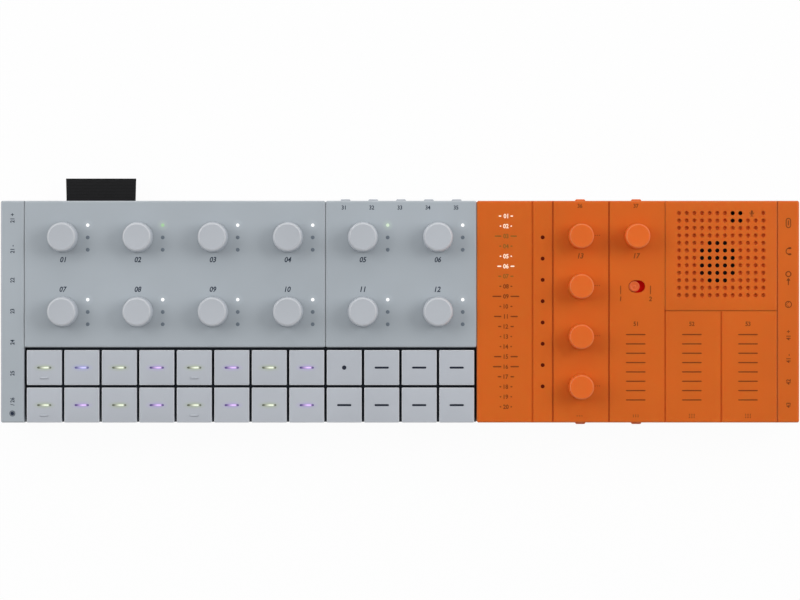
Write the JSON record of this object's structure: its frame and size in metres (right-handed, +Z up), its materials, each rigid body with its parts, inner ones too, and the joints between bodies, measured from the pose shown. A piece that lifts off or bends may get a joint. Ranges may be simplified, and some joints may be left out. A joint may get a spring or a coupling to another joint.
{
  "type": "drum machine",
  "caption": "Flat tabletop drum machine with grey drum and synth panels, an orange effects panel, round knobs, square keys and a perforated speaker grille.",
  "frame": {"origin": "under the middle of the plan outline, on the surface that the feet stand on", "axes": "+X along the case to the sockets, +Y to the rear with the fabric tag, +Z up through the panels"},
  "size_m": [0.343, 0.1058, 0.038],
  "materials": {
    "grey_shell": "fine matte moulding",
    "grey_key": "fine matte moulding",
    "grey_control": "soft matte",
    "orange_shell": "fine matte moulding",
    "orange_control": "soft matte",
    "black_plastic": "matte",
    "board_green": "solder mask",
    "battery_wrap": "shrink wrap",
    "socket_metal": "nickel plate",
    "foot_rubber": "matte",
    "tag_fabric": "woven ribbon",
    "slider_red": "satin"
  },
  "bodies": {
    "root": {"base_tray": "grey_shell", "drum_cover": "grey_shell", "synth_cover": "grey_shell", "effects_cover": "orange_shell", "left_end_cap": "grey_shell", "right_end_cap": "orange_shell", "speaker_grille": "orange_shell", "key_bed": "black_plastic", "circuit_board": "board_green", "speaker": "black_plastic", "battery": "battery_wrap", "side_sockets": "socket_metal", "feet": "foot_rubber", "fabric_tag": "tag_fabric"},
    "track_knob_01": {"track_knob_01": "grey_control"},
    "track_knob_02": {"track_knob_02": "grey_control"},
    "track_knob_03": {"track_knob_03": "grey_control"},
    "track_knob_04": {"track_knob_04": "grey_control"},
    "track_knob_05": {"track_knob_05": "grey_control"},
    "track_knob_06": {"track_knob_06": "grey_control"},
    "track_knob_07": {"track_knob_07": "grey_control"},
    "track_knob_08": {"track_knob_08": "grey_control"},
    "track_knob_09": {"track_knob_09": "grey_control"},
    "track_knob_10": {"track_knob_10": "grey_control"},
    "track_knob_11": {"track_knob_11": "grey_control"},
    "track_knob_12": {"track_knob_12": "grey_control"},
    "sound_knob_1": {"sound_knob_1": "orange_control"},
    "sound_knob_2": {"sound_knob_2": "orange_control"},
    "sound_knob_3": {"sound_knob_3": "orange_control"},
    "sound_knob_4": {"sound_knob_4": "orange_control"},
    "effect_knob": {"effect_knob": "orange_control"},
    "step_key_01": {"step_key_01": "grey_key"},
    "step_key_02": {"step_key_02": "grey_key"},
    "step_key_03": {"step_key_03": "grey_key"},
    "step_key_04": {"step_key_04": "grey_key"},
    "step_key_05": {"step_key_05": "grey_key"},
    "step_key_06": {"step_key_06": "grey_key"},
    "step_key_07": {"step_key_07": "grey_key"},
    "step_key_08": {"step_key_08": "grey_key"},
    "note_key_1": {"note_key_1": "grey_key"},
    "note_key_2": {"note_key_2": "grey_key"},
    "note_key_3": {"note_key_3": "grey_key"},
    "note_key_4": {"note_key_4": "grey_key"},
    "step_key_09": {"step_key_09": "grey_key"},
    "step_key_10": {"step_key_10": "grey_key"},
    "step_key_11": {"step_key_11": "grey_key"},
    "step_key_12": {"step_key_12": "grey_key"},
    "step_key_13": {"step_key_13": "grey_key"},
    "step_key_14": {"step_key_14": "grey_key"},
    "step_key_15": {"step_key_15": "grey_key"},
    "step_key_16": {"step_key_16": "grey_key"},
    "note_key_5": {"note_key_5": "grey_key"},
    "note_key_6": {"note_key_6": "grey_key"},
    "note_key_7": {"note_key_7": "grey_key"},
    "note_key_8": {"note_key_8": "grey_key"},
    "mode_slider": {"mode_slider": "slider_red"},
    "left_side_buttons": {"left_side_buttons": "grey_control"},
    "right_side_buttons": {"right_side_buttons": "orange_control"},
    "rear_buttons": {"rear_buttons": "grey_control"},
    "front_buttons": {"front_buttons": "orange_control"}
  },
  "joints": [
    {"name": "track_knob_01_turn", "type": "hinge", "parent": "root", "child": "track_knob_01", "pos_m": [-0.14434, 0.02725, 0.0285], "axis": [0, 0, 1], "continuous": true},
    {"name": "track_knob_02_turn", "type": "hinge", "parent": "root", "child": "track_knob_02", "pos_m": [-0.11222, 0.02725, 0.0285], "axis": [0, 0, 1], "continuous": true},
    {"name": "track_knob_03_turn", "type": "hinge", "parent": "root", "child": "track_knob_03", "pos_m": [-0.0801, 0.02725, 0.0285], "axis": [0, 0, 1], "continuous": true},
    {"name": "track_knob_04_turn", "type": "hinge", "parent": "root", "child": "track_knob_04", "pos_m": [-0.04798, 0.02725, 0.0285], "axis": [0, 0, 1], "continuous": true},
    {"name": "track_knob_05_turn", "type": "hinge", "parent": "root", "child": "track_knob_05", "pos_m": [-0.01586, 0.02725, 0.0285], "axis": [0, 0, 1], "continuous": true},
    {"name": "track_knob_06_turn", "type": "hinge", "parent": "root", "child": "track_knob_06", "pos_m": [0.01626, 0.02725, 0.0285], "axis": [0, 0, 1], "continuous": true},
    {"name": "track_knob_07_turn", "type": "hinge", "parent": "root", "child": "track_knob_07", "pos_m": [-0.14434, -0.00465, 0.0285], "axis": [0, 0, 1], "continuous": true},
    {"name": "track_knob_08_turn", "type": "hinge", "parent": "root", "child": "track_knob_08", "pos_m": [-0.11222, -0.00465, 0.0285], "axis": [0, 0, 1], "continuous": true},
    {"name": "track_knob_09_turn", "type": "hinge", "parent": "root", "child": "track_knob_09", "pos_m": [-0.0801, -0.00465, 0.0285], "axis": [0, 0, 1], "continuous": true},
    {"name": "track_knob_10_turn", "type": "hinge", "parent": "root", "child": "track_knob_10", "pos_m": [-0.04798, -0.00465, 0.0285], "axis": [0, 0, 1], "continuous": true},
    {"name": "track_knob_11_turn", "type": "hinge", "parent": "root", "child": "track_knob_11", "pos_m": [-0.01586, -0.00465, 0.0285], "axis": [0, 0, 1], "continuous": true},
    {"name": "track_knob_12_turn", "type": "hinge", "parent": "root", "child": "track_knob_12", "pos_m": [0.01626, -0.00465, 0.0285], "axis": [0, 0, 1], "continuous": true},
    {"name": "sound_knob_1_turn", "type": "hinge", "parent": "root", "child": "sound_knob_1", "pos_m": [0.07746, 0.02765, 0.0285], "axis": [0, 0, 1], "continuous": true},
    {"name": "sound_knob_2_turn", "type": "hinge", "parent": "root", "child": "sound_knob_2", "pos_m": [0.07746, 0.00615, 0.0285], "axis": [0, 0, 1], "continuous": true},
    {"name": "sound_knob_3_turn", "type": "hinge", "parent": "root", "child": "sound_knob_3", "pos_m": [0.07746, -0.01535, 0.0285], "axis": [0, 0, 1], "continuous": true},
    {"name": "sound_knob_4_turn", "type": "hinge", "parent": "root", "child": "sound_knob_4", "pos_m": [0.07746, -0.03685, 0.0285], "axis": [0, 0, 1], "continuous": true},
    {"name": "effect_knob_turn", "type": "hinge", "parent": "root", "child": "effect_knob", "pos_m": [0.1015, 0.02765, 0.0285], "axis": [0, 0, 1], "continuous": true},
    {"name": "step_key_01_press", "type": "slide", "parent": "root", "child": "step_key_01", "axis": [0, 0, -1], "range_m": [0, 0.001], "stiffness_N_per_m": 600},
    {"name": "step_key_02_press", "type": "slide", "parent": "root", "child": "step_key_02", "axis": [0, 0, -1], "range_m": [0, 0.001], "stiffness_N_per_m": 600},
    {"name": "step_key_03_press", "type": "slide", "parent": "root", "child": "step_key_03", "axis": [0, 0, -1], "range_m": [0, 0.001], "stiffness_N_per_m": 600},
    {"name": "step_key_04_press", "type": "slide", "parent": "root", "child": "step_key_04", "axis": [0, 0, -1], "range_m": [0, 0.001], "stiffness_N_per_m": 600},
    {"name": "step_key_05_press", "type": "slide", "parent": "root", "child": "step_key_05", "axis": [0, 0, -1], "range_m": [0, 0.001], "stiffness_N_per_m": 600},
    {"name": "step_key_06_press", "type": "slide", "parent": "root", "child": "step_key_06", "axis": [0, 0, -1], "range_m": [0, 0.001], "stiffness_N_per_m": 600},
    {"name": "step_key_07_press", "type": "slide", "parent": "root", "child": "step_key_07", "axis": [0, 0, -1], "range_m": [0, 0.001], "stiffness_N_per_m": 600},
    {"name": "step_key_08_press", "type": "slide", "parent": "root", "child": "step_key_08", "axis": [0, 0, -1], "range_m": [0, 0.001], "stiffness_N_per_m": 600},
    {"name": "note_key_1_press", "type": "slide", "parent": "root", "child": "note_key_1", "axis": [0, 0, -1], "range_m": [0, 0.001], "stiffness_N_per_m": 600},
    {"name": "note_key_2_press", "type": "slide", "parent": "root", "child": "note_key_2", "axis": [0, 0, -1], "range_m": [0, 0.001], "stiffness_N_per_m": 600},
    {"name": "note_key_3_press", "type": "slide", "parent": "root", "child": "note_key_3", "axis": [0, 0, -1], "range_m": [0, 0.001], "stiffness_N_per_m": 600},
    {"name": "note_key_4_press", "type": "slide", "parent": "root", "child": "note_key_4", "axis": [0, 0, -1], "range_m": [0, 0.001], "stiffness_N_per_m": 600},
    {"name": "step_key_09_press", "type": "slide", "parent": "root", "child": "step_key_09", "axis": [0, 0, -1], "range_m": [0, 0.001], "stiffness_N_per_m": 600},
    {"name": "step_key_10_press", "type": "slide", "parent": "root", "child": "step_key_10", "axis": [0, 0, -1], "range_m": [0, 0.001], "stiffness_N_per_m": 600},
    {"name": "step_key_11_press", "type": "slide", "parent": "root", "child": "step_key_11", "axis": [0, 0, -1], "range_m": [0, 0.001], "stiffness_N_per_m": 600},
    {"name": "step_key_12_press", "type": "slide", "parent": "root", "child": "step_key_12", "axis": [0, 0, -1], "range_m": [0, 0.001], "stiffness_N_per_m": 600},
    {"name": "step_key_13_press", "type": "slide", "parent": "root", "child": "step_key_13", "axis": [0, 0, -1], "range_m": [0, 0.001], "stiffness_N_per_m": 600},
    {"name": "step_key_14_press", "type": "slide", "parent": "root", "child": "step_key_14", "axis": [0, 0, -1], "range_m": [0, 0.001], "stiffness_N_per_m": 600},
    {"name": "step_key_15_press", "type": "slide", "parent": "root", "child": "step_key_15", "axis": [0, 0, -1], "range_m": [0, 0.001], "stiffness_N_per_m": 600},
    {"name": "step_key_16_press", "type": "slide", "parent": "root", "child": "step_key_16", "axis": [0, 0, -1], "range_m": [0, 0.001], "stiffness_N_per_m": 600},
    {"name": "note_key_5_press", "type": "slide", "parent": "root", "child": "note_key_5", "axis": [0, 0, -1], "range_m": [0, 0.001], "stiffness_N_per_m": 600},
    {"name": "note_key_6_press", "type": "slide", "parent": "root", "child": "note_key_6", "axis": [0, 0, -1], "range_m": [0, 0.001], "stiffness_N_per_m": 600},
    {"name": "note_key_7_press", "type": "slide", "parent": "root", "child": "note_key_7", "axis": [0, 0, -1], "range_m": [0, 0.001], "stiffness_N_per_m": 600},
    {"name": "note_key_8_press", "type": "slide", "parent": "root", "child": "note_key_8", "axis": [0, 0, -1], "range_m": [0, 0.001], "stiffness_N_per_m": 600},
    {"name": "mode_slider_slide", "type": "slide", "parent": "root", "child": "mode_slider", "axis": [1, 0, 0], "range_m": [0, 0.0023]},
    {"name": "left_side_buttons_press", "type": "slide", "parent": "root", "child": "left_side_buttons", "axis": [1, 0, 0], "range_m": [0, 0.0004], "stiffness_N_per_m": 1500},
    {"name": "right_side_buttons_press", "type": "slide", "parent": "root", "child": "right_side_buttons", "axis": [-1, 0, 0], "range_m": [0, 0.0004], "stiffness_N_per_m": 1500},
    {"name": "rear_buttons_press", "type": "slide", "parent": "root", "child": "rear_buttons", "axis": [0, -1, 0], "range_m": [0, 0.0004], "stiffness_N_per_m": 1500},
    {"name": "front_buttons_press", "type": "slide", "parent": "root", "child": "front_buttons", "axis": [0, 1, 0], "range_m": [0, 0.0004], "stiffness_N_per_m": 1500}
  ]
}
